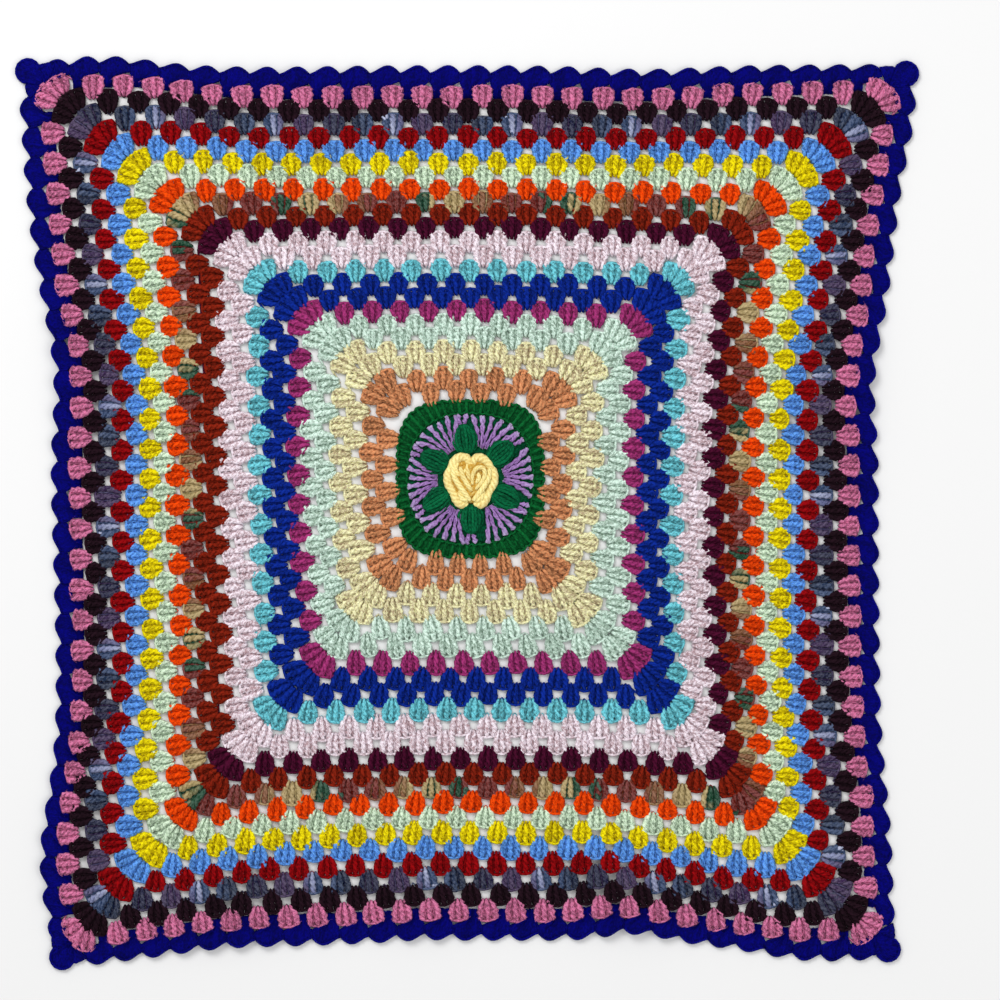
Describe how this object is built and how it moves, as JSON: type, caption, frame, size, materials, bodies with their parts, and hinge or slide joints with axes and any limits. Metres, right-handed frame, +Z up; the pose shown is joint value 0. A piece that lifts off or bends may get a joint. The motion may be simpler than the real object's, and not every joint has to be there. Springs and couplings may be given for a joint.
{
  "type": "granny square blanket",
  "caption": "Square crocheted blanket worked as one large granny square in bands of coloured yarn, with a flower in the middle and a scalloped shell edging, laid flat.",
  "frame": {"origin": "on the surface the blanket lies on, under the middle of its box", "axes": "+Z up out of the blanket's front, +Y towards the top edge of the flower's upright view, +X to its right"},
  "size_m": [0.9094, 0.9166, 0.0199],
  "materials": {
    "terracotta_yarn": "soft worsted yarn, crocheted",
    "cream_yarn": "soft worsted yarn, crocheted",
    "mint_yarn": "soft worsted yarn, crocheted",
    "magenta_yarn": "soft worsted yarn, crocheted",
    "royal_yarn": "soft worsted yarn, crocheted",
    "turquoise_yarn": "soft worsted yarn, crocheted",
    "pale_pink_yarn": "soft worsted yarn, crocheted",
    "plum_yarn": "soft worsted yarn, crocheted",
    "rust_yarn": "soft worsted yarn, crocheted",
    "autumn_mixed_yarn": "soft worsted yarn, crocheted",
    "orange_yarn": "soft worsted yarn, crocheted",
    "pale_mint_yarn": "soft worsted yarn, crocheted",
    "yellow_yarn": "soft worsted yarn, crocheted",
    "cornflower_yarn": "soft worsted yarn, crocheted",
    "deep_red_yarn": "soft worsted yarn, crocheted",
    "night_mixed_yarn": "soft worsted yarn, crocheted",
    "black_plum_yarn": "soft worsted yarn, crocheted",
    "dusty_pink_yarn": "soft worsted yarn, crocheted",
    "ultramarine_yarn": "soft worsted yarn, crocheted",
    "dark_green_yarn": "soft worsted yarn, crocheted",
    "emerald_yarn": "soft worsted yarn, crocheted",
    "lilac_yarn": "soft worsted yarn, crocheted",
    "butter_yarn": "soft worsted yarn, crocheted"
  },
  "bodies": {
    "root": {"granny_ground": "dusty_pink_yarn", "shell_edging": "ultramarine_yarn", "green_ring": "dark_green_yarn", "fan_disc": "lilac_yarn", "leaf_puff_1": "emerald_yarn", "leaf_puff_2": "emerald_yarn", "leaf_puff_3": "emerald_yarn", "leaf_puff_4": "emerald_yarn", "leaf_puff_5": "emerald_yarn", "leaf_puff_6": "emerald_yarn", "rose": "butter_yarn"}
  },
  "joints": []
}
